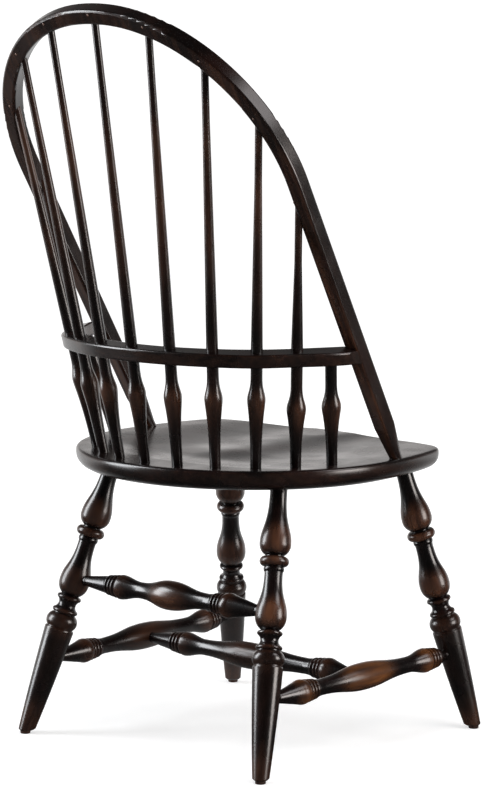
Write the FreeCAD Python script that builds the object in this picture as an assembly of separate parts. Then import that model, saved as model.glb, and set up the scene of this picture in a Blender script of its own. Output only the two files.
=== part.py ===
import FreeCAD, Part
import math
import os

# Frame: millimetres, +Z up, the sitter faces -Y, the floor is Z = 0.
# Plan positions are first taken from the centre of the seat's round back edge,
# and the whole chair is then slid along Y so that it is centred over the origin.

# Seat
deck_height = 454.0
seat_thickness = 32.0
seat_half_width = 272.5
seat_back_depth = 263.0
seat_side_radius = 540.0
seat_corner_radius = 52.0
seat_front_radius = 1170.0
seat_front_depth = 213.0
seat_top_round = 5.0
seat_undercut = 28.0
saddle_depth = 13.0
saddle_half_width = 222.0
saddle_back_reach = 190.0
saddle_front_reach = 320.0
saddle_centre_y = -5.0
pommel_height = 9.0
pommel_width = 60.0

# Legs, turned, measured down the leg from the underside of the seat
rear_leg_top = (173.0, 124.0)
rear_leg_foot = (246.5, 248.5)
front_leg_top = (181.5, -158.0)
front_leg_foot = (255.5, -248.5)
leg_neck_dia = 26.2
leg_neck_end = 14.0
leg_vase_dia = 47.8
leg_groove_dia = 27.2
upper_vase_at = 87.0
upper_vase_end = 105.0
upper_ring_at = 113.8
upper_ring_dia = 44.6
upper_ring_end = 121.2
leg_bead_dia = 31.2
leg_bead_end = 129.8
lower_neck_end = 135.0
lower_vase_at = 196.5
lower_vase_end = 217.4
thin_ring_at = 222.0
thin_ring_dia = 38.4
cove_at = 233.4
cove_dia = 27.6
lower_ring_at = 243.6
lower_ring_dia = 40.4
ball_start = 247.8
ball_at = 259.0
ball_end = 270.6
ball_dia = 49.2
taper_start = 272.4
taper_dia = 46.4
foot_dia = 24.4
leg_socket_depth = 20.0
foot_chamfer = 2.4

# Glides under the feet
glide_dia = 16.0
glide_height = 5.2
glide_round = 1.2
glide_nail_dia = 2.6
glide_nail_length = 14.0

# Stretchers, turned, measured from the first leg's axis
side_height_rear = 116.0
side_height_front = 122.0
rear_stretcher_height = 241.0
stretcher_end_dia = 16.4
stretcher_socket_floor = 5.0
stretcher_swell_dia = 38.5
stretcher_neck_dia = 25.4
stretcher_belly_dia = 42.0
rear_belly_dia = 45.5
bead_pitch = 7.6
side_first_swell = 79.0
side_second_swell_from_end = 71.0
rear_first_swell = 85.0
rear_second_swell_from_end = 102.0
cross_first_swell = 68.0
cross_second_swell_from_end = 95.0

# Bow, a bent hoop in a plane that leans back
bow_lean = 29.9
bow_foot_x = 257.0
bow_foot_y = -50.0
bow_half_width = 275.3
bow_rise = 780.0
bow_top_radius = 320.0
bow_top_arc = 6.0
bow_width = 25.0
bow_depth = 25.0
bow_edge_round = 4.5
bow_foot_dia = 19.4
bow_taper_length = 62.0
bow_socket_depth = 19.0

# Mid rail, a bent rail behind the bow's legs
rail_height = 623.4
rail_width = 30.0
rail_thickness = 21.0
rail_edge_round = 3.0
rail_dowel_dia = 8.0
rail_dowel_length = 24.0

# Spindles, turned, measured up the spindle from the seat deck
spindle_circle = 234.5
spindle_angle_step = 14.85
spindle_top_runs = (0.0, 106.5, 213.0, 333.0, 484.0)
spindle_top_set_back = 5.0
short_spindle_inside_bow = 9.6
short_spindle_behind_bow = 53.2
spindle_foot_dia = 16.8
spindle_belly_dia = 27.7
outer_belly_dia = 29.5
belly_below_rail = 64.5
outer_belly_below_rail = 81.0
belly_to_straight = 36.0
spindle_rail_dia = 18.0
spindle_top_dia = 11.4
spindle_socket_depth = 17.0
spindle_top_socket = 18.0
short_spindle_top_gap = 5.0

# Clearance of a round tenon in its socket, on the radius
glue_gap = 0.05

V = FreeCAD.Vector
Z_AXIS = V(0, 0, 1)
underside = deck_height - seat_thickness
lean = math.radians(bow_lean)
PLANE_UP = V(0, math.sin(lean), math.cos(lean))
PLANE_REAR = V(0, math.cos(lean), -math.sin(lean))


def unit(vector):
    return vector * (1.0 / vector.Length)


def aim(shape, base, direction):
    """Put a shape made about the Z axis at base, with Z turned to direction."""
    shape.Placement = FreeCAD.Placement(base, FreeCAD.Rotation(Z_AXIS, direction))
    return shape


def rod(base, direction, length, dia):
    return Part.makeCylinder(dia / 2.0, length, base, direction)


class Profile:
    """Half outline of a turned piece: stations along the lathe axis, and diameters."""

    def __init__(self, at, dia):
        self.start = at
        self.at = at
        self.edges = [Part.makeLine(V(0, 0, at), V(dia / 2.0, 0, at))]
        self.point = V(dia / 2.0, 0, at)

    def line(self, at, dia):
        end = V(dia / 2.0, 0, at)
        self.edges.append(Part.makeLine(self.point, end))
        self.point = end
        self.at = at

    def arc(self, mid_at, mid_dia, at, dia):
        end = V(dia / 2.0, 0, at)
        self.edges.append(Part.Arc(self.point, V(mid_dia / 2.0, 0, mid_at), end).toShape())
        self.point = end
        self.at = at

    def sweep_to(self, at, dia, hold=0.6, pull=0.35):
        """Long S curve that leaves and arrives along the axis."""
        span = at - self.at
        end = V(dia / 2.0, 0, at)
        first = V(self.point.x, 0, self.at + hold * span)
        second = V(dia / 2.0, 0, at - pull * span)
        curve = Part.BezierCurve()
        curve.setPoles([self.point, first, second, end])
        self.edges.append(curve.toShape())
        self.point = end
        self.at = at

    def shoulder_to(self, at, dia):
        """Full round shoulder that leaves along the axis and drops into a groove."""
        span = at - self.at
        drop = self.point.x - dia / 2.0
        end = V(dia / 2.0, 0, at)
        first = V(self.point.x, 0, self.at + 0.52 * span)
        second = V(dia / 2.0 + 0.48 * drop, 0, self.at + 0.84 * span)
        curve = Part.BezierCurve()
        curve.setPoles([self.point, first, second, end])
        self.edges.append(curve.toShape())
        self.point = end
        self.at = at

    def solid(self):
        last = V(0, 0, self.at)
        self.edges.append(Part.makeLine(self.point, last))
        self.edges.append(Part.makeLine(last, V(0, 0, self.start)))
        face = Part.Face(Part.Wire(self.edges))
        return face.revolve(V(0, 0, 0), Z_AXIS, 360)


# Seat

def seat_outline(inset, height):
    """Closed outline at the given height, drawn in by inset all round: half an ellipse, then arcs."""
    half_width = seat_half_width - inset
    side_radius = seat_side_radius - inset
    corner_radius = seat_corner_radius - inset
    front_radius = seat_front_radius - inset
    side_centre_x = seat_half_width - seat_side_radius
    front_centre_y = seat_front_radius - seat_front_depth
    to_side = seat_side_radius - seat_corner_radius
    to_front = seat_front_radius - seat_corner_radius
    gap = math.hypot(side_centre_x, front_centre_y)
    along = (to_side ** 2 - to_front ** 2 + gap ** 2) / (2.0 * gap)
    across = math.sqrt(to_side ** 2 - along ** 2)
    ux = -side_centre_x / gap
    uy = front_centre_y / gap
    corner = V(side_centre_x + along * ux + across * uy, along * uy - across * ux, 0)
    side_centre = V(side_centre_x, 0, 0)
    front_centre = V(0, front_centre_y, 0)
    side_start = V(half_width, 0, 0)
    side_end = side_centre + unit(corner - side_centre) * side_radius
    side_mid = side_centre + unit((side_start - side_centre) + (side_end - side_centre)) * side_radius
    front_end = front_centre + unit(corner - front_centre) * front_radius
    front_mid = V(0, front_centre_y - front_radius, 0)
    corner_mid = corner + unit(unit(side_end - corner) + unit(front_end - corner)) * corner_radius
    lift = V(0, 0, height)

    def mirror(point):
        return V(-point.x, point.y, point.z)

    def arc(first, middle, last):
        return Part.Arc(first + lift, middle + lift, last + lift).toShape()

    back = Part.Ellipse(lift, half_width, seat_back_depth - inset)
    return Part.Wire([
        Part.ArcOfEllipse(back, 0, math.pi).toShape(),
        arc(mirror(side_start), mirror(side_mid), mirror(side_end)),
        arc(mirror(side_end), mirror(corner_mid), mirror(front_end)),
        arc(mirror(front_end), front_mid, front_end),
        arc(front_end, corner_mid, side_end),
        arc(side_end, side_mid, side_start),
    ])


def saddle_height(x, y):
    """Height of the dished seat top: a bowl with a low ridge towards the front."""
    reach = saddle_back_reach if y > saddle_centre_y else saddle_front_reach
    spread = (x / saddle_half_width) ** 2 + ((y - saddle_centre_y) / reach) ** 2
    bowl = saddle_depth * (spread - 1.0)
    forward = max(0.0, (saddle_centre_y - y) / seat_front_depth)
    ridge = pommel_height * forward ** 2 * math.exp(-(x / pommel_width) ** 2)
    return deck_height + bowl + ridge


def saddle_cutter():
    steps = 16
    size = seat_half_width + 20.0
    grid = []
    for i in range(steps + 1):
        x = -size + 2.0 * size * i / steps
        grid.append([V(x, -size + 2.0 * size * j / steps, 0) for j in range(steps + 1)])
    for row in grid:
        for point in row:
            point.z = saddle_height(point.x, point.y)
    surface = Part.BSplineSurface()
    surface.interpolate(grid)
    return surface.toShape().extrude(V(0, 0, 60))


def make_seat():
    # Insets from the underside up: the undercut, the upright band and the top round
    undercut_height = seat_thickness - seat_top_round - 5.0
    sections = []
    for share in (0.0, 0.2, 0.45, 0.7, 1.0):
        inset = seat_undercut * (1.0 - math.sin(share * math.pi / 2.0))
        height = underside + undercut_height * (1.0 - math.cos(share * math.pi / 2.0))
        sections.append(seat_outline(inset, height))
    lower = Part.makeLoft(sections, True, False)
    band_top = deck_height - seat_top_round
    band = Part.makeLoft([seat_outline(0.0, underside + undercut_height), seat_outline(0.0, band_top)], True, True)
    tops = []
    for share in (0.0, 0.35, 0.7, 1.0):
        inset = seat_top_round * (1.0 - math.cos(share * math.pi / 2.0))
        height = band_top + seat_top_round * math.sin(share * math.pi / 2.0)
        tops.append(seat_outline(inset, height))
    upper = Part.makeLoft(tops, True, False)
    seat = lower.fuse([band, upper]).removeSplitter()
    seat = seat.cut(saddle_cutter())
    sockets = [leg_socket(top, foot) for top, foot in leg_lines()]
    sockets += [spindle_socket(number) for number in spindle_numbers()]
    sockets += [bow_socket(side) for side in (-1, 1)]
    return seat.cut(sockets)


# Legs

def leg_lines():
    """Top and foot of each leg's axis, in the order of LEG_NAMES."""
    lines = []
    for top, foot in ((rear_leg_top, rear_leg_foot), (front_leg_top, front_leg_foot)):
        for side in (-1, 1):
            lines.append((V(side * top[0], top[1], underside), V(side * foot[0], foot[1], 0)))
    return lines


LEG_NAMES = ["leg_rear_right", "leg_rear_left", "leg_front_right", "leg_front_left"]


def leg_point(line, height):
    top, foot = line
    return foot + (top - foot) * (height / underside)


def leg_socket(top, foot):
    upward = unit(top - foot)
    start = top - upward * (leg_neck_dia / 2.0)
    return rod(start, upward, leg_socket_depth + leg_neck_dia / 2.0, leg_neck_dia + 2.0 * glue_gap)


def leg_profile(length):
    """One turning for every leg down to the ball; the taper below runs on to the floor."""
    profile = Profile(-leg_socket_depth, leg_neck_dia)
    profile.line(leg_neck_end, leg_neck_dia)
    profile.sweep_to(upper_vase_at, leg_vase_dia, 0.62, 0.33)
    profile.shoulder_to(upper_vase_end, leg_groove_dia)
    profile.line(upper_vase_end + 1.2, leg_groove_dia)
    profile.arc(upper_ring_at, upper_ring_dia, upper_ring_end, leg_bead_dia + 1.0)
    profile.line(upper_ring_end + 0.6, leg_bead_dia - 2.0)
    profile.arc((upper_ring_end + leg_bead_end) / 2.0, leg_bead_dia, leg_bead_end, leg_bead_dia - 3.2)
    profile.line(lower_neck_end, leg_groove_dia + 0.4)
    profile.sweep_to(lower_vase_at, leg_vase_dia, 0.6, 0.4)
    profile.shoulder_to(lower_vase_end, leg_groove_dia)
    profile.line(thin_ring_at - 3.2, thin_ring_dia - 5.0)
    profile.arc(thin_ring_at, thin_ring_dia, thin_ring_at + 3.0, thin_ring_dia - 3.4)
    profile.arc(cove_at, cove_dia, lower_ring_at - 3.0, lower_ring_dia - 4.0)
    profile.arc(lower_ring_at, lower_ring_dia, ball_start - 0.6, lower_ring_dia - 5.6)
    profile.line(ball_start + 0.4, lower_ring_dia - 5.6)
    profile.arc(ball_at, ball_dia, ball_end, ball_dia - 7.6)
    profile.line(ball_end + 0.9, ball_dia - 7.6)
    profile.line(taper_start, taper_dia - 1.0)
    profile.line(taper_start + 1.6, taper_dia)
    middle = (taper_start + length) / 2.0
    profile.arc(middle, (taper_dia + foot_dia) / 2.0 + 1.8, length, foot_dia)
    profile.line(length + leg_vase_dia, foot_dia - 5.0)
    return profile


def make_leg(line, sockets):
    top, foot = line
    leg = aim(leg_profile((foot - top).Length).solid(), top, unit(foot - top))
    size = 4.0 * leg_vase_dia
    corner = V(foot.x - size / 2.0, foot.y - size / 2.0, glide_height - size)
    ground = Part.makeBox(size, size, size, corner)
    nail = rod(V(foot.x, foot.y, 0), Z_AXIS, glide_height + glide_nail_length, glide_nail_dia + 2.0 * glue_gap)
    leg = leg.cut([ground, nail] + sockets)
    rim = [edge for edge in leg.Edges if is_foot_rim(edge)]
    return leg.makeChamfer(foot_chamfer, rim)


def is_foot_rim(edge):
    box = edge.BoundBox
    level = abs(box.ZMin - glide_height) < 0.01 and abs(box.ZMax - glide_height) < 0.01
    return level and box.XLength > foot_dia / 2.0


def make_glide(foot):
    radius = glide_dia / 2.0
    disc = Part.makeCylinder(radius, glide_height)
    low = [edge for edge in disc.Edges if edge.BoundBox.ZMax < 0.01]
    disc = disc.makeFillet(glide_round, low)
    nail = Part.makeCylinder(glide_nail_dia / 2.0, glide_nail_length, V(0, 0, glide_height))
    glide = disc.fuse(nail)
    glide.translate(V(foot.x, foot.y, 0))
    return glide


# Stretchers

def beads(profile, start, first_dia, last_dia):
    """Three small beads, parted by grooves, whose size steps from first to last."""
    for number in range(3):
        dia = first_dia + (last_dia - first_dia) * number / 2.0
        base = start + number * bead_pitch
        profile.line(base + 0.7, dia - 3.4)
        profile.arc(base + 0.7 + (bead_pitch - 1.4) / 2.0, dia, base + bead_pitch - 0.7, dia - 3.4)


def stretcher_profile(length, start_skin, end_skin, first_swell, second_swell, belly_dia):
    """Turning between two members whose skins are start_skin and end_skin from the ends."""
    bead_run = 3.0 * bead_pitch
    neck_one = first_swell + bead_run + 14.0
    neck_two = second_swell - 40.0
    profile = Profile(stretcher_socket_floor, stretcher_end_dia)
    profile.line(start_skin + 3.0, stretcher_end_dia)
    profile.line(first_swell - 9.0, stretcher_swell_dia - 3.0)
    profile.arc(first_swell - 1.0, stretcher_swell_dia, first_swell + 6.0, stretcher_swell_dia - 3.0)
    beads(profile, first_swell + 6.0, stretcher_swell_dia - 2.6, stretcher_swell_dia - 6.5)
    profile.line(neck_one - 6.0, stretcher_neck_dia + 2.0)
    profile.sweep_to(neck_one + 6.0, stretcher_neck_dia, 0.4, 0.5)
    profile.sweep_to(length / 2.0, belly_dia, 0.5, 0.42)
    profile.sweep_to(neck_two, stretcher_neck_dia, 0.42, 0.5)
    profile.sweep_to(second_swell, stretcher_swell_dia, 0.4, 0.3)
    beads(profile, second_swell + 5.0, stretcher_swell_dia - 2.6, stretcher_swell_dia - 6.5)
    profile.line(second_swell + 6.0 + bead_run, stretcher_swell_dia - 10.5)
    profile.line(length - end_skin - 3.0, stretcher_end_dia)
    profile.line(length - stretcher_socket_floor, stretcher_end_dia)
    return profile


def make_stretcher(ends, skins, first_swell, second_from_end, belly_dia):
    start, end = ends
    length = (end - start).Length
    profile = stretcher_profile(length, skins[0], skins[1], first_swell, length - second_from_end, belly_dia)
    return aim(profile.solid(), start, unit(end - start))


def end_sockets(ends, reach):
    """Round sockets for both tenons of a stretcher, out to reach beyond each axis."""
    start, end = ends
    along = unit(end - start)
    dia = stretcher_end_dia + 2.0 * glue_gap
    depth = reach - stretcher_socket_floor
    first = rod(start + along * stretcher_socket_floor, along, depth, dia)
    second = rod(end - along * reach, along, depth, dia)
    return first, second


def side_ends(side):
    lines = leg_lines()
    rear, front = (lines[0], lines[2]) if side < 0 else (lines[1], lines[3])
    return leg_point(rear, side_height_rear), leg_point(front, side_height_front)


def side_middle(side):
    rear, front = side_ends(side)
    return (rear + front) * 0.5


def cross_ends():
    return side_middle(-1), side_middle(1)


def rear_ends():
    lines = leg_lines()
    return leg_point(lines[0], rear_stretcher_height), leg_point(lines[1], rear_stretcher_height)


# Bow

def bow_shoulder():
    """Radius and centre, in the bow's plane, of the arcs beside the top arc."""
    arc = math.radians(bow_top_arc)
    radius = (bow_half_width - bow_top_radius * math.sin(arc)) / (1.0 - math.sin(arc))
    shift = bow_top_radius - radius
    return radius, shift * math.sin(arc), bow_rise - bow_top_radius + shift * math.cos(arc)


def bow_leg_tilt():
    """Angle past level, seen from the shoulder's centre, where the straight leg is tangent."""
    radius, centre_x, centre_h = bow_shoulder()
    run = bow_foot_x - centre_x
    distance = math.hypot(run, centre_h)
    return math.acos(radius / distance) - math.atan2(centre_h, run)


def bow_leg_at_rail(side):
    """Point of the bow's straight leg, on its centre line, at the height of the rail."""
    foot, up = bow_leg(side)
    return foot + up * ((rail_height - deck_height) / up.z)


def in_plane(x, h, rear=0.0):
    """Point of the bow's plane at x across and h up the lean, moved rear along its normal."""
    foot = V(0, bow_foot_y, deck_height)
    return foot + PLANE_UP * h + PLANE_REAR * rear + V(x, 0, 0)


def bow_station(run, side, outward=0.0, rear=0.0):
    """Point beside the bow's centre line, at a distance run down it from its top."""
    radius, centre_x, centre_h = bow_shoulder()
    arc = math.radians(bow_top_arc)
    top_run = bow_top_radius * arc
    if run <= top_run:
        angle = run / bow_top_radius
        reach = bow_top_radius + outward
        return in_plane(side * reach * math.sin(angle), bow_rise - bow_top_radius + reach * math.cos(angle), rear)
    end_angle = math.pi / 2.0 - bow_leg_tilt()
    angle = arc + (run - top_run) / radius
    if angle <= end_angle:
        reach = radius + outward
        return in_plane(side * (centre_x + reach * math.sin(angle)), centre_h + reach * math.cos(angle), rear)
    past = (angle - end_angle) * radius
    reach = radius + outward
    x = centre_x + reach * math.sin(end_angle) + past * math.cos(end_angle)
    h = centre_h + reach * math.cos(end_angle) - past * math.sin(end_angle)
    return in_plane(side * x, h, rear)


def bow_leg(side):
    """Foot of the bow in the deck, and the direction up its straight leg."""
    radius, centre_x, centre_h = bow_shoulder()
    tilt = bow_leg_tilt()
    touch = in_plane(side * (centre_x + radius * math.cos(tilt)), centre_h + radius * math.sin(tilt))
    foot = in_plane(side * bow_foot_x, 0.0)
    return foot, unit(touch - foot)


def rounded_square(centre, across, through, width, depth, corner):
    """Wire of four sides and four corner arcs, starting at the middle of no side."""
    a = width / 2.0
    b = depth / 2.0
    k = corner * (1.0 - math.sqrt(0.5))

    def at(x, y):
        return centre + across * x + through * y

    edges = []
    for sx, sy in ((1, 1), (-1, 1), (-1, -1), (1, -1)):
        ahead = at(sx * a, sy * (b - corner))
        over = at(sx * (a - corner), sy * b)
        middle = at(sx * (a - k), sy * (b - k))
        if sx * sy > 0:
            edges.append(Part.Arc(ahead, middle, over).toShape())
            edges.append(Part.makeLine(over, at(-sx * (a - corner), sy * b)))
        else:
            edges.append(Part.Arc(over, middle, ahead).toShape())
            edges.append(Part.makeLine(ahead, at(sx * a, -sy * (b - corner))))
    return Part.Wire(edges)


def round_of_eight(centre, across, through, dia, first, second):
    """Circle in eight arcs whose joints lie at the same bearings as a rounded square's."""
    radius = dia / 2.0
    bearings = [first, second, 180 - second, 180 - first, 180 + first, 180 + second, -second, -first]

    def at(bearing):
        angle = math.radians(bearing)
        return centre + across * (radius * math.cos(angle)) + through * (radius * math.sin(angle))

    edges = []
    for index, bearing in enumerate(bearings):
        last = bearings[(index + 1) % len(bearings)]
        while last < bearing:
            last += 360
        edges.append(Part.Arc(at(bearing), at((bearing + last) / 2.0), at(last)).toShape())
    return Part.Wire(edges)


def make_bow(pieces_in_it):
    radius, centre_x, centre_h = bow_shoulder()
    tilt = bow_leg_tilt()
    arc = math.radians(bow_top_arc)
    path = []
    starts = {}
    for side in (-1, 1):
        foot, up = bow_leg(side)
        starts[side] = (foot + up * bow_taper_length, up)
    left, up_left = starts[-1]
    right, up_right = starts[1]

    def shoulder_point(side, angle):
        return in_plane(side * (centre_x + radius * math.sin(angle)), centre_h + radius * math.cos(angle))

    low = math.pi / 2.0 - tilt
    middle = (low + arc) / 2.0
    top = in_plane(0, bow_rise)
    path.append(Part.makeLine(left, shoulder_point(-1, low)))
    path.append(Part.Arc(shoulder_point(-1, low), shoulder_point(-1, middle), shoulder_point(-1, arc)).toShape())
    path.append(Part.Arc(shoulder_point(-1, arc), top, shoulder_point(1, arc)).toShape())
    path.append(Part.Arc(shoulder_point(1, arc), shoulder_point(1, middle), shoulder_point(1, low)).toShape())
    path.append(Part.makeLine(shoulder_point(1, low), right))
    spine = Part.Wire(path)
    across = PLANE_REAR.cross(up_left)
    section = rounded_square(left, across, PLANE_REAR, bow_width, bow_depth, bow_edge_round)
    hoop = spine.makePipeShell([section], True, False)
    parts = []
    for side in (-1, 1):
        parts.append(bow_foot_solid(side))
    bow = hoop.fuse(parts).removeSplitter()
    return bow.cut(pieces_in_it)


def bow_foot_solid(side):
    """Whittled foot: rounded square above, round tenon below."""
    foot, up = bow_leg(side)
    across = PLANE_REAR.cross(up)
    corner = math.degrees(math.atan2(bow_depth / 2.0 - bow_edge_round, bow_width / 2.0))
    over = math.degrees(math.atan2(bow_depth / 2.0, bow_width / 2.0 - bow_edge_round))
    clear = 6.0
    top = rounded_square(foot + up * bow_taper_length, across, PLANE_REAR, bow_width, bow_depth, bow_edge_round)
    low = round_of_eight(foot + up * clear, across, PLANE_REAR, bow_foot_dia, corner, over)
    taper = Part.makeLoft([low, top], True, True)
    tenon = rod(foot - up * bow_socket_depth, up, bow_socket_depth + clear, bow_foot_dia)
    return taper.fuse(tenon)


def bow_socket(side):
    foot, up = bow_leg(side)
    length = bow_socket_depth + bow_foot_dia
    return rod(foot - up * bow_socket_depth, up, length, bow_foot_dia + 2.0 * glue_gap)


# Spindles

def spindle_numbers():
    reach = len(spindle_top_runs)
    return list(range(-reach, reach + 1))


def is_long(number):
    return abs(number) < len(spindle_top_runs)


def spindle_foot(number):
    angle = math.radians(spindle_angle_step * number)
    return V(spindle_circle * math.sin(angle), spindle_circle * math.cos(angle), deck_height)


def spindle_aim(number):
    """Point that a spindle's axis runs to: the bow's inner face for a long one, the rail for a short one."""
    side = 1 if number > 0 else -1
    if is_long(number):
        run = spindle_top_runs[abs(number)]
        return bow_station(run, side, -bow_width / 2.0, spindle_top_set_back)
    leg = bow_leg_at_rail(side)
    return leg + V(-side * short_spindle_inside_bow, short_spindle_behind_bow, 0)


def spindle_line(number):
    foot = spindle_foot(number)
    target = spindle_aim(number)
    return foot, unit(target - foot), (target - foot).Length


def at_height(number, height):
    foot, along, length = spindle_line(number)
    return foot + along * ((height - foot.z) / along.z)


def spindle_socket(number):
    foot, along, length = spindle_line(number)
    dia = spindle_foot_dia + 2.0 * glue_gap
    return rod(foot - along * spindle_socket_depth, along, spindle_socket_depth + dia, dia)


def spindle_belly(number, rail_at):
    """Station and diameter of the belly, lower and fuller on the two outermost spindles of each side."""
    if abs(number) >= len(spindle_top_runs) - 1:
        return rail_at - outer_belly_below_rail, outer_belly_dia
    return rail_at - belly_below_rail, spindle_belly_dia


def make_spindle(number):
    foot, along, length = spindle_line(number)
    profile = Profile(-spindle_socket_depth, spindle_foot_dia)
    profile.line(4.0, spindle_foot_dia)
    rail_at = (rail_height - deck_height) / along.z
    belly_at, belly_dia = spindle_belly(number, rail_at)
    profile.sweep_to(belly_at, belly_dia, 0.7, 0.1)
    profile.sweep_to(belly_at + belly_to_straight, spindle_rail_dia, 0.3, 0.6)
    if is_long(number):
        profile.line(rail_at + rail_thickness, spindle_rail_dia)
        profile.line(length - top_straight(number), spindle_top_dia)
        profile.line(length + spindle_top_socket, spindle_top_dia)
    else:
        profile.line(rail_at + rail_thickness / 2.0 - short_spindle_top_gap, spindle_rail_dia)
    return aim(profile.solid(), foot, along)


def top_straight(number):
    """Length of the plain round top of a long spindle, enough to reach out of its socket."""
    foot, along, length = spindle_line(number)
    face_slope = abs(along.dot(PLANE_REAR))
    return (bow_depth / 2.0 + spindle_top_dia) / max(face_slope, 0.35) + 10.0


def top_socket(number):
    foot, along, length = spindle_line(number)
    start = foot + along * (length - top_straight(number))
    return rod(start, along, top_straight(number) + spindle_top_socket, spindle_top_dia + 2.0 * glue_gap)


# Mid rail

def rail_guides():
    """Two smooth curves through the spindles: the rail's centre line, and one above it."""
    lift = 100.0
    low = [at_height(number, rail_height) for number in spindle_numbers()]
    high = [at_height(number, rail_height + lift) for number in spindle_numbers()]
    end_low = rail_end_point()
    step = end_low - low[-1]
    end_high = high[-1] + step
    for points, end in ((low, end_low), (high, end_high)):
        points.insert(0, V(-end.x, end.y, end.z))
        points.append(end)
    knots = [0.0]
    for first, second in zip(low, low[1:]):
        knots.append(knots[-1] + (second - first).Length)
    curves = []
    for points in (low, high):
        curve = Part.BSplineCurve()
        curve.interpolate(Points=points, Parameters=knots)
        curves.append(curve)
    return curves[0], curves[1], knots


def rail_end_point():
    """Where the rail's centre line runs into the bow's leg."""
    return bow_leg_at_rail(1) + PLANE_REAR * 2.0


def make_rail(pieces_in_it):
    centre, above, knots = rail_guides()
    sections = []
    stops = []
    for first, second in zip(knots, knots[1:]):
        stops += [first, (first + second) / 2.0]
    stops.append(knots[-1])
    for stop in stops:
        point = centre.value(stop)
        tangent = unit(centre.tangent(stop)[0])
        up = above.value(stop) - point
        up = unit(up - tangent * up.dot(tangent))
        outward = tangent.cross(up)
        sections.append(rounded_square(point, outward, up, rail_width, rail_thickness, rail_edge_round))
    rail = Part.makeLoft(sections, True, False)
    return rail.cut(pieces_in_it)


def rail_trims():
    """Everything in front of the bow's rear face, and everything beyond each leg's outer face."""
    size = 2.0 * bow_half_width
    base = in_plane(-size, -bow_depth, bow_depth / 2.0)
    trims = [block(base, V(1, 0, 0), PLANE_UP, PLANE_REAR * -1.0, (2.0 * size, bow_rise, size))]
    for side in (-1, 1):
        foot, up = bow_leg(side)
        outward = PLANE_REAR.cross(up) * side
        if outward.x * side < 0:
            outward = outward * -1.0
        base = foot + outward * (bow_width / 2.0) - PLANE_REAR * size - up * bow_depth
        trims.append(block(base, outward, up, PLANE_REAR, (size, bow_rise, 2.0 * size)))
    return trims


def block(base, first, second, third, sizes):
    """Box with three given edge directions."""
    a = first * sizes[0]
    b = second * sizes[1]
    wire = Part.makePolygon([base, base + a, base + a + b, base + b, base])
    return Part.Face(wire).extrude(third * sizes[2])


def dowel_line(side):
    return bow_leg_at_rail(side) + PLANE_REAR * (bow_depth / 2.0), V(0, 1, 0)


def rail_dowels():
    dowels = []
    for side in (-1, 1):
        centre, along = dowel_line(side)
        dowels.append(rod(centre - along * (rail_dowel_length / 2.0), along, rail_dowel_length, rail_dowel_dia))
    return dowels


def dowel_holes():
    holes = []
    for side in (-1, 1):
        centre, along = dowel_line(side)
        dia = rail_dowel_dia + 2.0 * glue_gap
        holes.append(rod(centre - along * (rail_dowel_length / 2.0), along, rail_dowel_length, dia))
    return holes


# Assembly

def spindle_name(number):
    if number == 0:
        return "spindle_centre"
    side = "left" if number > 0 else "right"
    kind = "spindle" if is_long(number) else "short_spindle"
    return kind + "_" + side + ("_" + str(abs(number)) if is_long(number) else "")


def build():
    nodes = {}
    nodes["seat"] = make_seat()
    lines = leg_lines()
    reach = leg_vase_dia
    side_sockets = {side: end_sockets(side_ends(side), reach) for side in (-1, 1)}
    rear_sockets = end_sockets(rear_ends(), reach)
    cross_sockets = end_sockets(cross_ends(), reach)
    sockets_of_leg = [
        [side_sockets[-1][0], rear_sockets[0]],
        [side_sockets[1][0], rear_sockets[1]],
        [side_sockets[-1][1]],
        [side_sockets[1][1]],
    ]
    for name, line, sockets in zip(LEG_NAMES, lines, sockets_of_leg):
        nodes[name] = make_leg(line, sockets)
        nodes[name.replace("leg", "glide")] = make_glide(line[1])
    leg_skin = taper_dia / 2.0
    for side, name, socket in ((-1, "right", cross_sockets[0]), (1, "left", cross_sockets[1])):
        stretcher = make_stretcher(
            side_ends(side), (leg_skin, leg_skin), side_first_swell, side_second_swell_from_end, stretcher_belly_dia
        )
        nodes["side_stretcher_" + name] = stretcher.cut(socket)
    belly_skin = stretcher_belly_dia / 2.0
    nodes["cross_stretcher"] = make_stretcher(
        cross_ends(), (belly_skin, belly_skin), cross_first_swell, cross_second_swell_from_end, stretcher_belly_dia
    )
    vase_skin = leg_vase_dia / 2.0
    nodes["rear_stretcher"] = make_stretcher(
        rear_ends(), (vase_skin, vase_skin), rear_first_swell, rear_second_swell_from_end, rear_belly_dia
    )
    long_numbers = [number for number in spindle_numbers() if is_long(number)]
    nodes["bow"] = make_bow([top_socket(number) for number in long_numbers] + dowel_holes())
    holes = []
    for number in spindle_numbers():
        foot, along, length = spindle_line(number)
        at = (rail_height - deck_height) / along.z
        dia = spindle_rail_dia + 2.0 * glue_gap
        if is_long(number):
            holes.append(rod(foot + along * (at - 2.0 * rail_thickness), along, 4.0 * rail_thickness, dia))
        else:
            top = at + rail_thickness / 2.0 - short_spindle_top_gap
            holes.append(rod(foot + along * (top - 2.0 * rail_thickness), along, 2.0 * rail_thickness, dia))
    nodes["mid_rail"] = make_rail(holes + rail_trims() + dowel_holes())
    for number in spindle_numbers():
        nodes[spindle_name(number)] = make_spindle(number)
    nodes["rail_dowels"] = Part.makeCompound(rail_dowels())
    return nodes


def main():
    nodes = build()
    back = nodes["bow"].optimalBoundingBox(False, False).YMax
    front = min(nodes[name].optimalBoundingBox(False, False).YMin for name in LEG_NAMES[2:])
    shift = V(0, -(back + front) / 2.0, 0)
    os.makedirs("parts", exist_ok=True)
    for name, shape in nodes.items():
        shape.translate(shift)
        bad = "" if shape.isValid() else "  not valid"
        print(name, len(shape.Solids), round(shape.Volume / 1000.0, 1), "cm3", bad)
        shape.exportStep("parts/" + name + ".step")
    print("slid along Y by", round(shift.y, 3))


main()
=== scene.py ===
import math

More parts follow.
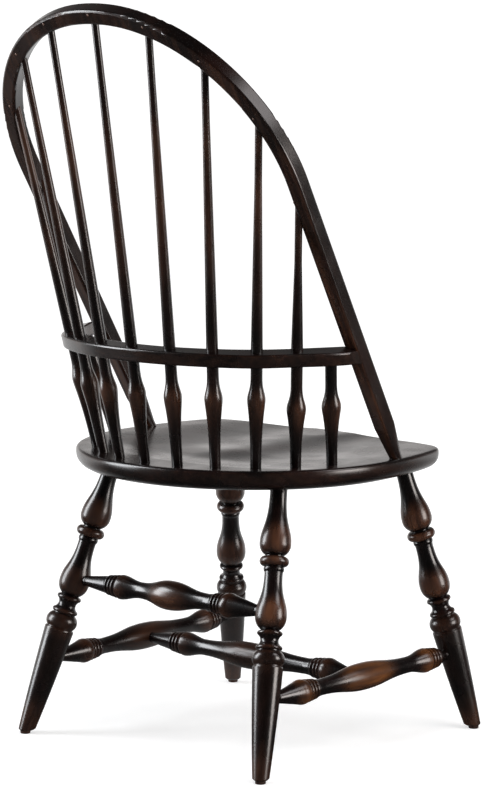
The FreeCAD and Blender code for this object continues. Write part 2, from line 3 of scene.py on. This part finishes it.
import bmesh
import bpy
import numpy as np
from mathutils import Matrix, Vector
from mathutils.bvhtree import BVHTree


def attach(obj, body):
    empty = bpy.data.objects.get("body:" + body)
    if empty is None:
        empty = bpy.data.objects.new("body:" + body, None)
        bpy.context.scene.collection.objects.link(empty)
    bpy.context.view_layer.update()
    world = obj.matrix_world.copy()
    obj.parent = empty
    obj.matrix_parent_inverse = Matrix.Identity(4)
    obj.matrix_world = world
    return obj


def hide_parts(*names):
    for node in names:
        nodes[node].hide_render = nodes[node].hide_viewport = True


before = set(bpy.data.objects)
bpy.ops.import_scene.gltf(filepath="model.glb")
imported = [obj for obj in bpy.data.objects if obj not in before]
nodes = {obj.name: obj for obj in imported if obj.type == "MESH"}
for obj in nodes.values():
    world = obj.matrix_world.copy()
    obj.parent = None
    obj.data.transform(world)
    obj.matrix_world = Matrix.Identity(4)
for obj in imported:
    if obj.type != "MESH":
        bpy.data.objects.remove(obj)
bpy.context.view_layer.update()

SHARP_EDGE = math.radians(50.0)
UP = (0, 0, 1)

# Colours, linear
WHITE = (1.0, 1.0, 1.0)
STAIN = (0.0028, 0.0020, 0.0020)
STAIN_WARM = (0.0120, 0.0050, 0.0042)
RUBBED = (0.135, 0.052, 0.023)
RUBBED_RED = (0.190, 0.066, 0.013)
RUBBED_DEEP = (0.055, 0.0200, 0.0110)
PORE = (0.003, 0.0022, 0.002)
BRAD = (0.30, 0.19, 0.15)
GLIDE = (0.022, 0.010, 0.007)
GLIDE_WORN = (0.070, 0.026, 0.017)

# A NOISE is (scale, detail, roughness), as in Tree.noise.
# A RANGE is (start, end) or (start, end, least, most), as in Tree.smooth.

# Lacquer
ROUGH_NOISE, ROUGH_RANGE = (16.0, 2.0, 0.5), (0.3, 0.75, 0.22, 0.29)
ROUGH_WORN = 0.07
SPECULAR, IOR = 1.0, 1.5
SWELL_NOISE, SWELL_HEIGHT = (28.0, 1.0, 0.4), 0.8
BUMP_STRENGTH, BUMP_DISTANCE = 0.12, 0.0003

# Patterns of the wood. cloud, streak and PORE_LINES are noise scales per metre, across and along the grain.
# patch and broken are ranges: how cloud and streak thin the rub-through. tone is the range of the brown.
# dents is (scale, size, share of cells). pores and dent_dark are shares of the colour PORE.
CLOUD_NOISE, STREAK_NOISE = (1.0, 3.0, 0.55), (1.0, 3.0, 0.6)
PORE_NOISE, PORE_RANGE, PORE_LINES = (1.0, 4.0, 0.62), (0.52, 0.74), (420.0, 16.0)
WARM_RANGE = (0.35, 0.75)
SPECK_CORE = 0.35
DENT_DEPTH = -0.8
SEED_STEPS = (3.1, 1.7, 2.3)
TURNED = {
    "cloud": (34.0, 11.0), "streak": (190.0, 9.0),
    "patch": (0.20, 0.72, 0.35, 1.0), "broken": (0.30, 0.62, 0.80, 1.0), "tone": (0.25, 0.75),
    "pores": 0.35, "dents": (95.0, 0.12, 0.10), "dent_dark": 0.8,
}
SAWN = {
    "cloud": (22.0, 8.0), "streak": (120.0, 6.0),
    "patch": (0.30, 0.66, 0.35, 1.0), "broken": (0.30, 0.62, 0.60, 1.0), "tone": (0.35, 0.70),
    "pores": 0.5, "dents": (60.0, 0.08, 0.05), "dent_dark": 0.85,
}


class Tree:
    """Node tree of a material or of the world, with short calls for the nodes used here."""

    def __init__(self, owner):
        owner.use_nodes = True
        self.owner = owner
        self.nodes = owner.node_tree.nodes
        self.links = owner.node_tree.links
        self.nodes.clear()

    def plug(self, socket, value):
        """Link an output to the socket, or set the socket's own value."""
        if hasattr(value, "is_output"):
            self.links.new(value, socket)
        else:
            socket.default_value = value

    def add(self, kind, *inputs, **settings):
        """New node, with its first sockets plugged in order."""
        node = self.nodes.new(kind)
        for key, value in settings.items():
            setattr(node, key, value)
        for socket, value in zip(node.inputs, inputs):
            self.plug(socket, value)
        return node

    def math(self, operation, *values, clamp=False):
        return self.add("ShaderNodeMath", *values, operation=operation, use_clamp=clamp).outputs[0]

    def vector(self, operation, first, second=(0.0, 0.0, 0.0), scale=1.0):
        node = self.add("ShaderNodeVectorMath", first, second, operation=operation)
        self.plug(node.inputs[3], scale)
        is_number = operation in ("DOT_PRODUCT", "LENGTH")
        return node.outputs["Value" if is_number else "Vector"]

    def smooth(self, value, start, end, least=0.0, most=1.0):
        """The value least at start and most at end, with a soft run between them."""
        node = self.add("ShaderNodeMapRange", value, start, end, least, most, interpolation_type="SMOOTHSTEP")
        return node.outputs["Result"]

    def noise(self, where, scale, detail, rough):
        node = self.add("ShaderNodeTexNoise", where)
        node.inputs["Scale"].default_value = scale
        node.inputs["Detail"].default_value = detail
        node.inputs["Roughness"].default_value = rough
        return node.outputs["Fac"]

    def cells(self, where, scale):
        node = self.add("ShaderNodeTexVoronoi", where, feature="F1")
        node.inputs["Scale"].default_value = scale
        return node.outputs["Distance"], node.outputs["Color"]

    def mix(self, share, first, second):
        node = self.add("ShaderNodeMix", share, data_type="RGBA")
        for socket, colour in zip(node.inputs[6:8], (first, second)):
            self.plug(socket, colour if hasattr(colour, "is_output") else (*colour, 1.0))
        return node.outputs[2]

    def place(self):
        return self.add("ShaderNodeTexCoord").outputs["Object"]

    def height_of(self, vector):
        return self.add("ShaderNodeSeparateXYZ", vector).outputs[2]

    def mix_shader(self, share, first, second):
        return self.add("ShaderNodeMixShader", share, first, second).outputs[0]

    def bumped(self, colour, rough, height, strength, distance):
        """Principled surface with a bump, as the material's output."""
        shader = self.add("ShaderNodeBsdfPrincipled")
        self.plug(shader.inputs["Base Color"], colour)
        self.plug(shader.inputs["Roughness"], rough)
        bump = self.add("ShaderNodeBump")
        self.plug(bump.inputs["Strength"], strength)
        self.plug(bump.inputs["Distance"], distance)
        self.plug(bump.inputs["Height"], height)
        self.plug(shader.inputs["Normal"], bump.outputs["Normal"])
        self.add("ShaderNodeOutputMaterial", shader.outputs[0])
        return shader


def material_tree(name):
    return Tree(bpy.data.materials.new(name))


def wood_finish(tree, colour, wear, bumps):
    """Satin lacquer over wood: rougher where it is worn, bumped by dents and hand-scraped swells."""
    patches = tree.noise(tree.place(), *ROUGH_NOISE)
    worn = tree.math("MULTIPLY", wear, ROUGH_WORN)
    rough = tree.math("ADD", worn, tree.smooth(patches, *ROUGH_RANGE))
    swell = tree.noise(tree.place(), *SWELL_NOISE)
    height = tree.math("ADD", tree.math("MULTIPLY", swell, SWELL_HEIGHT), bumps)
    shader = tree.bumped(colour, rough, height, BUMP_STRENGTH, BUMP_DISTANCE)
    shader.inputs["Specular IOR Level"].default_value = SPECULAR
    shader.inputs["IOR"].default_value = IOR


def specks(tree, where, scale, size, share):
    """Scattered dents and flecks: a share of the cells of a Voronoi pattern."""
    distance, tint = tree.cells(where, scale)
    number = tree.add("ShaderNodeSeparateColor", tint).outputs[0]
    chosen = tree.math("LESS_THAN", number, share)
    return tree.math("MULTIPLY", chosen, tree.smooth(distance, size, size * SPECK_CORE))


class Grain:
    """Grain of one piece: its run and place along the axis, its place across it, and its noises."""

    def __init__(self, tree, look, local, axis, seed):
        self.tree = tree
        self.look = look
        self.shift = tuple(seed * step for step in SEED_STEPS)
        self.run = tree.vector("DOT_PRODUCT", local, axis)
        self.along = tree.vector("SCALE", axis, scale=self.run)
        self.across = tree.vector("SUBTRACT", local, self.along)
        self.cloud = tree.noise(self.drawn_out(look["cloud"]), *CLOUD_NOISE)
        self.streak = tree.noise(self.drawn_out(look["streak"]), *STREAK_NOISE)

    def drawn_out(self, scales):
        """Place for a noise that is drawn out along the grain."""
        tree = self.tree
        moved = tree.vector("ADD", tree.vector("SCALE", self.across, scale=scales[0]), self.shift)
        return tree.vector("ADD", moved, tree.vector("SCALE", self.along, scale=scales[1]))

    def finish(self, where, rub, shades, rubbed=RUBBED):
        """Dark stain, rubbed through to brown, with pores and dents. shades is the noise in the brown."""
        tree, look = self.tree, self.look
        rub = tree.math("MULTIPLY", rub, tree.smooth(self.cloud, *look["patch"]), clamp=True)
        rub = tree.math("MULTIPLY", rub, tree.smooth(self.streak, *look["broken"]))
        ground = tree.mix(tree.smooth(self.cloud, *WARM_RANGE), STAIN, STAIN_WARM)
        brown = tree.mix(tree.smooth(shades, *look["tone"]), RUBBED_DEEP, rubbed)
        colour = tree.mix(rub, ground, brown)
        pores = tree.smooth(tree.noise(self.drawn_out(PORE_LINES), *PORE_NOISE), *PORE_RANGE)
        colour = tree.mix(tree.math("MULTIPLY", pores, look["pores"]), colour, PORE)
        dents = specks(tree, tree.vector("ADD", where, self.shift), *look["dents"])
        colour = tree.mix(tree.math("MULTIPLY", dents, look["dent_dark"]), colour, PORE)
        wood_finish(tree, colour, rub, tree.math("MULTIPLY", dents, DENT_DEPTH))
        return tree.owner


def dress(name, material):
    mesh = nodes[name].data
    mesh.materials.clear()
    mesh.materials.append(material)
    for polygon in mesh.polygons:
        polygon.material_index = 0


def shade_smooth(mesh):
    for polygon in mesh.polygons:
        polygon.use_smooth = True
    mesh.set_sharp_from_angle(angle=SHARP_EDGE)


def mesh_from(shape, name):
    mesh = bpy.data.meshes.new(name)
    shape.to_mesh(mesh)
    shape.free()
    return mesh


def add_object(name, data):
    added = bpy.data.objects.new(name, data)
    bpy.context.scene.collection.objects.link(added)
    return added


# Turned pieces

def lathe_axis(name, towards):
    """Base, direction and length of a turned node's lathe axis, from its own mesh."""
    mesh = nodes[name].data
    mesh.calc_loop_triangles()
    points = np.empty(len(mesh.vertices) * 3)
    mesh.vertices.foreach_get("co", points)
    points = points.reshape(-1, 3)
    index = np.empty(len(mesh.loop_triangles) * 3, dtype=np.int32)
    mesh.loop_triangles.foreach_get("vertices", index)
    corners = points[index.reshape(-1, 3)]
    areas = np.linalg.norm(np.cross(corners[:, 1] - corners[:, 0], corners[:, 2] - corners[:, 0]), axis=1)
    middles = corners.mean(axis=1)
    centre = (middles * areas[:, None]).sum(0) / areas.sum()
    spread = (middles - centre) * np.sqrt(areas)[:, None]
    axis = np.linalg.eigh(spread.T @ spread)[1][:, 2]
    if axis @ np.array(towards) < 0:
        axis = -axis
    runs = (points - centre) @ axis
    base = centre + axis * runs.min()
    return tuple(float(v) for v in base), tuple(float(v) for v in axis), float(runs.max() - runs.min())


TONE_STREAK, TONE_CLOUD = 0.35, 0.65
CALM_BLEND = 0.01


def turned_wood(name, towards, rub_range, rub_amount, seed, zones=(), calm=None, rubbed=RUBBED):
    """Stained and rubbed-through finish of a turned piece.

    rub_range holds the radii where rub-through starts and is full. Each zone is
    (start, end, strength) along the lathe axis, in metres from the base. calm is
    (height, share): below that height the radius counts only that share.
    """
    base, axis, _ = lathe_axis(name, towards)
    tree = material_tree("finish_" + name)
    where = tree.place()
    grain = Grain(tree, TURNED, tree.vector("SUBTRACT", where, base), axis, seed)
    swell = tree.smooth(tree.vector("LENGTH", grain.across), *rub_range)
    rub = tree.math("MULTIPLY", swell, rub_amount)
    if calm:
        height, share = calm
        above = tree.smooth(grain.run, height - CALM_BLEND, height + CALM_BLEND, share, 1.0)
        rub = tree.math("MULTIPLY", rub, above)
    for start, end, strength in zones:
        middle = (start + end) / 2.0
        rise = tree.smooth(grain.run, start, middle)
        fall = tree.smooth(grain.run, end, middle)
        band = tree.math("MULTIPLY", tree.math("MINIMUM", rise, fall), strength)
        rub = tree.math("MAXIMUM", rub, band)
    streak_part = tree.math("MULTIPLY", grain.streak, TONE_STREAK)
    cloud_part = tree.math("MULTIPLY", grain.cloud, TONE_CLOUD)
    return grain.finish(where, rub, tree.math("ADD", streak_part, cloud_part), rubbed)


# Each piece has a seed of its own, so that no two share their patches
LEG_SEED, STRETCHER_SEED, SPINDLE_SEED = 1.0, 6.0, 12.0
SEAT_SEED, BOW_SEED, RAIL_SEED, DOWEL_SEED = 31.0, 33.0, 35.0, 36.0

LEG_RUB = (0.0160, 0.0236)
LEG_ZONES = ((-0.040, 0.070, 0.60), (0.145, 0.205, 0.30))
LEG_CALM = (0.195, 0.10)

# Name, rub_amount
LEGS = (
    ("leg_rear_right", 0.90),
    ("leg_rear_left", 0.60),
    ("leg_front_right", 0.90),
    ("leg_front_left", 0.80),
)
for number, (name, amount) in enumerate(LEGS):
    dress(name, turned_wood(name, UP, LEG_RUB, amount, LEG_SEED + number, LEG_ZONES, LEG_CALM))

# Name, direction, rub_range, rub_amount, rubbed colour
STRETCHERS = (
    ("side_stretcher_right", (0, -1, 0), (0.0135, 0.0205), 1.0, RUBBED_RED),
    ("side_stretcher_left", (0, -1, 0), (0.0130, 0.0215), 0.9, RUBBED),
    ("cross_stretcher", (1, 0, 0), (0.0130, 0.0215), 0.6, RUBBED),
    ("rear_stretcher", (1, 0, 0), (0.0140, 0.0230), 0.8, RUBBED),
)
for number, (name, towards, rub_range, amount, rubbed) in enumerate(STRETCHERS):
    dress(name, turned_wood(name, towards, rub_range, amount, STRETCHER_SEED + number, rubbed=rubbed))

SPINDLE_RUB, SPINDLE_AMOUNT = (0.0080, 0.0150), 0.6
LONG_SPINDLE_ZONES = ((0.20, 0.75, 0.52),)
spindle_names = sorted(name for name in nodes if "spindle" in name)
for number, name in enumerate(spindle_names):
    zones = () if "short" in name else LONG_SPINDLE_ZONES
    dress(name, turned_wood(name, UP, SPINDLE_RUB, SPINDLE_AMOUNT, SPINDLE_SEED + number, zones))


# Sawn and bent pieces

BOW_RAKE = math.radians(29.9)
BOW_REAR = Vector((0.0, math.cos(BOW_RAKE), -math.sin(BOW_RAKE)))
BOW_GRAIN = (0.0, 0.4985, 0.8669)
BOW_FACE_RANGE = (0.35, 0.9, 0.03, 0.34)    # of the rearward part of the normal
BOW_LEG_RANGE = (0.95, 0.70, 1.0, 2.0)      # of the height in metres


def sawn_wood(name, grain_axis, brown_where, seed):
    """Finish of a sawn or bent piece. brown_where(tree, where, normal) gives the rub-through."""
    tree = material_tree("finish_" + name)
    where = tree.place()
    normal = tree.add("ShaderNodeNewGeometry").outputs["Normal"]
    grain = Grain(tree, SAWN, where, grain_axis, seed)
    return grain.finish(where, brown_where(tree, where, normal), grain.streak)


def brown_sides(start, end, amount):
    """Brown on upright faces: start and end are of the upward part of the normal."""
    def brown_where(tree, where, normal):
        level = tree.math("ABSOLUTE", tree.height_of(normal))
        return tree.math("MULTIPLY", tree.smooth(level, start, end), amount)
    return brown_where


def bow_brown(tree, where, normal):
    """Brown on the bow's rear face, twice as much low down on its legs."""
    rear = tree.vector("DOT_PRODUCT", normal, tuple(BOW_REAR))
    face = tree.smooth(rear, *BOW_FACE_RANGE)
    return tree.math("MULTIPLY", face, tree.smooth(tree.height_of(where), *BOW_LEG_RANGE))


# Dished seat, in the outline of the CAD's flat plank and in its place. Sizes in millimetres, as in part.py.
DECK, PLANK, SLIDE = 454.0, 32.0, -47.217
HALF_WIDTH, BACK_REACH, FRONT_REACH = 272.5, 263.0, 213.0
SIDE_RADIUS, CORNER_RADIUS, FRONT_RADIUS = 540.0, 52.0, 1170.0
UNDERCUT_IN, UNDERCUT_UP, EDGE_ROUND = 28.0, 22.0, 5.0
DISH_CENTRE, DISH_HALF_WIDTH, DISH_BACK, DISH_FRONT = 90.0, 240.0, 106.0, 450.0
DISH_DEPTH, DISH_POWER = 9.5, 1.4
POMMEL_HEIGHT, POMMEL_WIDTH, POMMEL_START, POMMEL_FULL = 6.2, 60.0, 130.0, 20.0
POMMEL_FADE = 3.0
PER_METRE = 1000.0

# Steps of the seat's mesh: round the outline, up the undercut and the top edge, and in to the middle
SIDE_STEPS, CORNER_STEPS, FRONT_STEPS, BACK_STEPS = 14, 14, 16, 90
UNDERCUT_SHARES = (0.0, 0.1, 0.2, 0.32, 0.45, 0.58, 0.7, 0.85, 1.0)
EDGE_SHARES = (0.0, 0.2, 0.4, 0.6, 0.8, 1.0)
DISH_RINGS = 56


def dish(x, y):
    """Depth of the seat's top under the deck: one bowl, with a low ridge from its middle to the front."""
    reach = DISH_BACK if y > DISH_CENTRE else DISH_FRONT
    share = 1.0 - (x / DISH_HALF_WIDTH) ** 2 - ((y - DISH_CENTRE) / reach) ** 2
    if share <= 0.0:
        return 0.0
    rise = min(1.0, max(0.0, (POMMEL_START - y) / (POMMEL_START - POMMEL_FULL)))
    ridge = POMMEL_HEIGHT * math.exp(-(x / POMMEL_WIDTH) ** 2) * rise * rise * (3.0 - 2.0 * rise)
    return max(0.0, DISH_DEPTH * share ** DISH_POWER - ridge * min(1.0, POMMEL_FADE * share))


def arc(centre, radius, first, last, steps):
    """Points of an arc from angle first up to, but not at, angle last."""
    angles = [first + (last - first) * step / steps for step in range(steps)]
    return [centre + radius * Vector((math.cos(angle), math.sin(angle))) for angle in angles]


def seat_outline(inset):
    """Points of the plank's outline, drawn in by inset: side, corner and front arcs, then half an ellipse."""
    side_centre = Vector((HALF_WIDTH - SIDE_RADIUS, 0.0))
    front_centre = Vector((0.0, FRONT_RADIUS - FRONT_REACH))
    gap = math.hypot(*(front_centre - side_centre))
    to_side, to_front = SIDE_RADIUS - CORNER_RADIUS, FRONT_RADIUS - CORNER_RADIUS
    along = (to_side ** 2 - to_front ** 2 + gap ** 2) / (2.0 * gap)
    across = math.sqrt(to_side ** 2 - along ** 2)
    aim = (front_centre - side_centre) / gap
    corner_centre = side_centre + along * aim + across * Vector((aim.y, -aim.x))
    side_out = corner_centre - side_centre
    side_angle = math.atan2(side_out.y, side_out.x)
    front_out = corner_centre - front_centre
    front_angle = math.atan2(front_out.y, front_out.x)

    half = arc(side_centre, SIDE_RADIUS - inset, 0.0, side_angle, SIDE_STEPS)
    half += arc(corner_centre, CORNER_RADIUS - inset, side_angle, front_angle, CORNER_STEPS)
    half += arc(front_centre, FRONT_RADIUS - inset, front_angle, -math.pi / 2.0, FRONT_STEPS)
    half.append(Vector((0.0, front_centre.y - (FRONT_RADIUS - inset))))
    mirrored = [Vector((-point.x, point.y)) for point in reversed(half[:-1])]
    back = []
    for step in range(1, BACK_STEPS):
        swept = math.pi * step / BACK_STEPS
        x = (HALF_WIDTH - inset) * math.cos(math.pi - swept)
        back.append(Vector((x, (BACK_REACH - inset) * math.sin(swept))))
    return half + mirrored + back


def seat_rings():
    """Rings of points over the seat: from the underside's edge out, up and in to the middle of the top."""
    rings = []
    for share in UNDERCUT_SHARES:
        angle = share * math.pi / 2.0
        height = DECK - PLANK + UNDERCUT_UP * (1.0 - math.cos(angle))
        ring = seat_outline(UNDERCUT_IN * (1.0 - math.sin(angle)))
        rings.append([(point.x, point.y, height) for point in ring])
    for share in EDGE_SHARES:
        angle = share * math.pi / 2.0
        height = DECK - EDGE_ROUND + EDGE_ROUND * math.sin(angle)
        ring = seat_outline(EDGE_ROUND * (1.0 - math.cos(angle)))
        rings.append([(point.x, point.y, height - dish(point.x, point.y) * share) for point in ring])
    rim = seat_outline(EDGE_ROUND)
    for step in range(1, DISH_RINGS):
        scale = 1.0 - step / DISH_RINGS
        ring = [(point.x * scale, point.y * scale) for point in rim]
        rings.append([(x, y, DECK - dish(x, y)) for x, y in ring])
    return rings


def bridge(shape, lower, upper):
    """Four-sided faces between two closed loops of as many vertices."""
    for index in range(len(lower)):
        after = (index + 1) % len(lower)
        shape.faces.new((lower[index], lower[after], upper[after], upper[index]))


def in_metres(x, y, z):
    return x / PER_METRE, (y + SLIDE) / PER_METRE, z / PER_METRE


def dished_seat():
    shape = bmesh.new()
    loops = [[shape.verts.new(in_metres(*point)) for point in ring] for ring in seat_rings()]
    for lower, upper in zip(loops, loops[1:]):
        bridge(shape, lower, upper)
    shape.faces.new(loops[0])
    middle = shape.verts.new(in_metres(0.0, 0.0, DECK - dish(0.0, 0.0)))
    inner = loops[-1]
    for index in range(len(inner)):
        shape.faces.new((inner[index], inner[(index + 1) % len(inner)], middle))
    bmesh.ops.recalc_face_normals(shape, faces=shape.faces)
    piece = add_object("seat_dished", mesh_from(shape, "seat_dished"))
    shade_smooth(piece.data)
    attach(piece, "root")
    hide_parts("seat")
    return piece


seat_brown = brown_sides(start=0.75, end=0.35, amount=0.12)
rail_brown = brown_sides(start=0.9, end=0.4, amount=0.18)
seat_material = sawn_wood("seat", (0.0, 1.0, 0.0), seat_brown, SEAT_SEED)
dress("seat", seat_material)
dished_seat().data.materials.append(seat_material)
dress("bow", sawn_wood("bow", BOW_GRAIN, bow_brown, BOW_SEED))
dress("mid_rail", sawn_wood("mid_rail", (1.0, 0.0, 0.0), rail_brown, RAIL_SEED))
dress("rail_dowels", sawn_wood("rail_dowels", (0.0, 1.0, 0.0), rail_brown, DOWEL_SEED))


# Heads of the nine brads that lock the tops of the long spindles in the bow. Sizes in metres.
BRAD_RADIUS, BRAD_HEIGHT, BRAD_SUNK = 0.0018, 0.0005, 0.0006
BRAD_BEYOND_TIP = 0.001
BRAD_RAY_START = 0.06
BRAD_SIDES = 16
BRAD_PROFILE = ((1.0, -BRAD_SUNK), (1.0, 0.0), (0.85, 0.5 * BRAD_HEIGHT), (0.5, 0.9 * BRAD_HEIGHT))
BRAD_NOISE, BRAD_RANGE, BRAD_BUMP = (900.0, 2.0, 0.55), (0.35, 0.65), 0.5


def brad_finish():
    tree = material_tree("finish_brad")
    worn = tree.smooth(tree.noise(tree.place(), *BRAD_NOISE), *BRAD_RANGE)
    wood_finish(tree, tree.mix(worn, RUBBED, BRAD), worn, tree.math("MULTIPLY", worn, BRAD_BUMP))
    return tree.owner


def add_brad(shape, spot, facing):
    """One low round head at spot, a place on the bow's rear face."""
    across = facing.orthogonal().normalized()
    other = facing.cross(across)
    loops = []
    for share, height in BRAD_PROFILE:
        ring = []
        for step in range(BRAD_SIDES):
            angle = 2.0 * math.pi * step / BRAD_SIDES
            out = across * math.cos(angle) + other * math.sin(angle)
            ring.append(shape.verts.new(spot + facing * height + BRAD_RADIUS * share * out))
        loops.append(ring)
    for lower, upper in zip(loops, loops[1:]):
        bridge(shape, lower, upper)
    shape.faces.new(loops[0])
    shape.faces.new(loops[-1])


def brad_heads():
    bow = nodes["bow"].data
    corners = [vertex.co.copy() for vertex in bow.vertices]
    surface = BVHTree.FromPolygons(corners, [tuple(polygon.vertices) for polygon in bow.polygons])
    shape = bmesh.new()
    for name in spindle_names:
        if "short" in name:
            continue
        base, axis, length = lathe_axis(name, UP)
        tip = Vector(base) + Vector(axis) * (length + BRAD_BEYOND_TIP)
        spot, facing = surface.ray_cast(tip + BOW_REAR * BRAD_RAY_START, -BOW_REAR)[:2]
        if facing.dot(BOW_REAR) < 0.0:
            facing = -facing
        add_brad(shape, spot, facing)
    bmesh.ops.recalc_face_normals(shape, faces=shape.faces)
    piece = add_object("brad_heads", mesh_from(shape, "brad_heads"))
    shade_smooth(piece.data)
    piece.data.materials.append(brad_finish())
    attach(piece, "root")


brad_heads()


# Floor glides
GLIDE_NOISE, GLIDE_RANGE = (240.0, 3.0, 0.55), (0.40, 0.65)
GLIDE_ROUGH = (0.0, 1.0, 0.42, 0.6)
GLIDE_BUMP_STRENGTH, GLIDE_BUMP_DISTANCE = 0.2, 0.0004


def glide_finish():
    tree = material_tree("finish_glide")
    worn = tree.smooth(tree.noise(tree.place(), *GLIDE_NOISE), *GLIDE_RANGE)
    colour = tree.mix(worn, GLIDE, GLIDE_WORN)
    rough = tree.smooth(worn, *GLIDE_ROUGH)
    tree.bumped(colour, rough, worn, GLIDE_BUMP_STRENGTH, GLIDE_BUMP_DISTANCE)
    return tree.owner


glide_material = glide_finish()
for name in nodes:
    if name.startswith("glide"):
        dress(name, glide_material)

for node in nodes.values():
    shade_smooth(node.data)


# Floor: near white to the camera and matt grey to the lamps. Polished wood mirrors it as bright only towards
# the white backdrop, where STUDIO_BACK points.
STUDIO_BACK = (0.6675, -0.7446, 0.0)
FLOOR_RADIUS, FLOOR_SIDES = 60.0, 96
FLOOR_GREY = (0.62, 0.62, 0.62, 1.0)
FLOOR_GLOW = (0.7, 2.6, 0.60, 1.0)      # near and far, and the glow at each
FLOOR_SHEEN = (-0.1, 0.9, 0.025, 1.0)   # the same for what the wood mirrors
SHEEN_WEDGE = 0.30


def floor_paint():
    tree = material_tree("floor_paint")
    path = tree.add("ShaderNodeLightPath").outputs
    spot = tree.place()
    away = tree.vector("LENGTH", spot)
    seen = tree.math("MAXIMUM", path["Is Camera Ray"], path["Is Transmission Ray"])
    glow = tree.add("ShaderNodeEmission")
    tree.plug(glow.inputs["Strength"], tree.math("MULTIPLY", seen, tree.smooth(away, *FLOOR_GLOW)))
    diffuse = tree.add("ShaderNodeBsdfDiffuse", FLOOR_GREY)
    both = tree.add("ShaderNodeAddShader", diffuse.outputs[0], glow.outputs[0])
    beyond = tree.vector("DOT_PRODUCT", spot, STUDIO_BACK)
    lean = tree.math("SUBTRACT", beyond, tree.math("MULTIPLY", away, SHEEN_WEDGE))
    sheen = tree.add("ShaderNodeEmission")
    tree.plug(sheen.inputs["Strength"], tree.smooth(lean, *FLOOR_SHEEN))
    paint = tree.mix_shader(path["Is Glossy Ray"], both.outputs[0], sheen.outputs[0])
    tree.add("ShaderNodeOutputMaterial", paint)
    return tree.owner


shape = bmesh.new()
bmesh.ops.create_circle(shape, cap_ends=True, segments=FLOOR_SIDES, radius=FLOOR_RADIUS)
floor = add_object("floor", mesh_from(shape, "floor"))
floor.data.materials.append(floor_paint())


# World: plain white to the camera and dim as a light. Polished wood mirrors it as white behind the chair,
# and as dim overhead and on the camera's side.
BACKDROP = (0.30, 0.90, 0.02, 1.15)     # start and end towards STUDIO_BACK, and the brightness at each
OVERHEAD = (0.10, 0.30, 1.0, 0.12)      # start and end upwards, and the share left at each
MIRRORED_TINT = (1.0, 0.965, 0.95, 1.0)
WORLD_LIGHT = 0.20


def studio_world():
    tree = Tree(bpy.data.worlds.new("studio"))
    path = tree.add("ShaderNodeLightPath").outputs
    bearing = tree.add("ShaderNodeTexCoord").outputs["Generated"]
    behind = tree.smooth(tree.vector("DOT_PRODUCT", bearing, STUDIO_BACK), *BACKDROP)
    overhead = tree.smooth(tree.vector("DOT_PRODUCT", bearing, (0.0, 0.0, 1.0)), *OVERHEAD)
    shade = tree.math("MULTIPLY", behind, overhead)
    lit = tree.add("ShaderNodeBackground", (*WHITE, 1.0), WORLD_LIGHT).outputs[0]
    mirrored = tree.add("ShaderNodeBackground", MIRRORED_TINT, shade).outputs[0]
    plain = tree.add("ShaderNodeBackground", (*WHITE, 1.0), 1.0).outputs[0]
    clear = tree.math("MAXIMUM", path["Is Camera Ray"], path["Is Transmission Ray"])
    unseen = tree.mix_shader(path["Is Glossy Ray"], lit, mirrored)
    tree.add("ShaderNodeOutputWorld", tree.mix_shader(clear, unseen, plain))
    return tree.owner


bpy.context.scene.world = studio_world()


# Lamps
CAMERA_BEARING = 132.2      # of the photograph's camera, in degrees from +X
LAMP_AIM = Vector((0.0, 0.0, 0.55))


def lamp(name, bearing, reach, height, size, watts, colour=WHITE, mirrored=True):
    """Rectangular lamp aimed at the chair. bearing is in degrees, to the right of the photograph's camera."""
    angle = math.radians(CAMERA_BEARING + bearing)
    data = bpy.data.lights.new(name, "AREA")
    data.shape = "RECTANGLE"
    data.size, data.size_y = size
    data.energy = watts
    data.color = colour
    holder = add_object(name, data)
    holder.location = (reach * math.cos(angle), reach * math.sin(angle), height)
    holder.rotation_euler = (LAMP_AIM - holder.location).to_track_quat("-Z", "Y").to_euler()
    holder.visible_glossy = mirrored


lamp("softbox_left", -94.0, 3.0, 1.50, (1.3, 2.7), 92.0, (0.95, 0.97, 1.0))
lamp("softbox_right", 66.0, 3.0, 0.75, (1.3, 1.3), 33.0, (1.0, 0.93, 0.89))
lamp("softbox_high", 72.0, 2.2, 2.35, (1.2, 1.1), 12.0, (1.0, 0.94, 0.94))
lamp("soft_front", 40.0, 3.2, 2.2, (1.6, 1.6), 42.0, (1.0, 0.98, 0.96), mirrored=False)
lamp("soft_top", 0.0, 0.3, 3.0, (1.6, 1.6), 30.0, mirrored=False)


# Camera, at the photograph's place: AZIMUTH round the chair, then turned by PAN and tilted by PITCH
AZIMUTH, PAN, PITCH = math.radians(221.7544), math.radians(0.11394), math.radians(-7.79347)
CAMERA_AWAY, CAMERA_HEIGHT = 5.55519, 1.29207
FOCAL_PIXELS, PHOTO_PIXELS, SENSOR = 3605.07, 791.0, 36.0
NEAREST, FARTHEST = 0.1, 200.0

turn = AZIMUTH + PAN
forward = Vector((-math.sin(turn) * math.cos(PITCH), math.cos(turn) * math.cos(PITCH), math.sin(PITCH)))
camera_data = bpy.data.cameras.new("camera")
camera_data.sensor_width = SENSOR
camera_data.lens = FOCAL_PIXELS * SENSOR / PHOTO_PIXELS
camera_data.clip_start = NEAREST
camera_data.clip_end = FARTHEST
camera = add_object("camera", camera_data)
camera_y = -CAMERA_AWAY * math.cos(AZIMUTH) + SLIDE / PER_METRE
camera.location = (CAMERA_AWAY * math.sin(AZIMUTH), camera_y, CAMERA_HEIGHT)
camera.rotation_euler = forward.to_track_quat("-Z", "Y").to_euler()
bpy.context.scene.camera = camera
bpy.context.scene.view_settings.view_transform = "Standard"
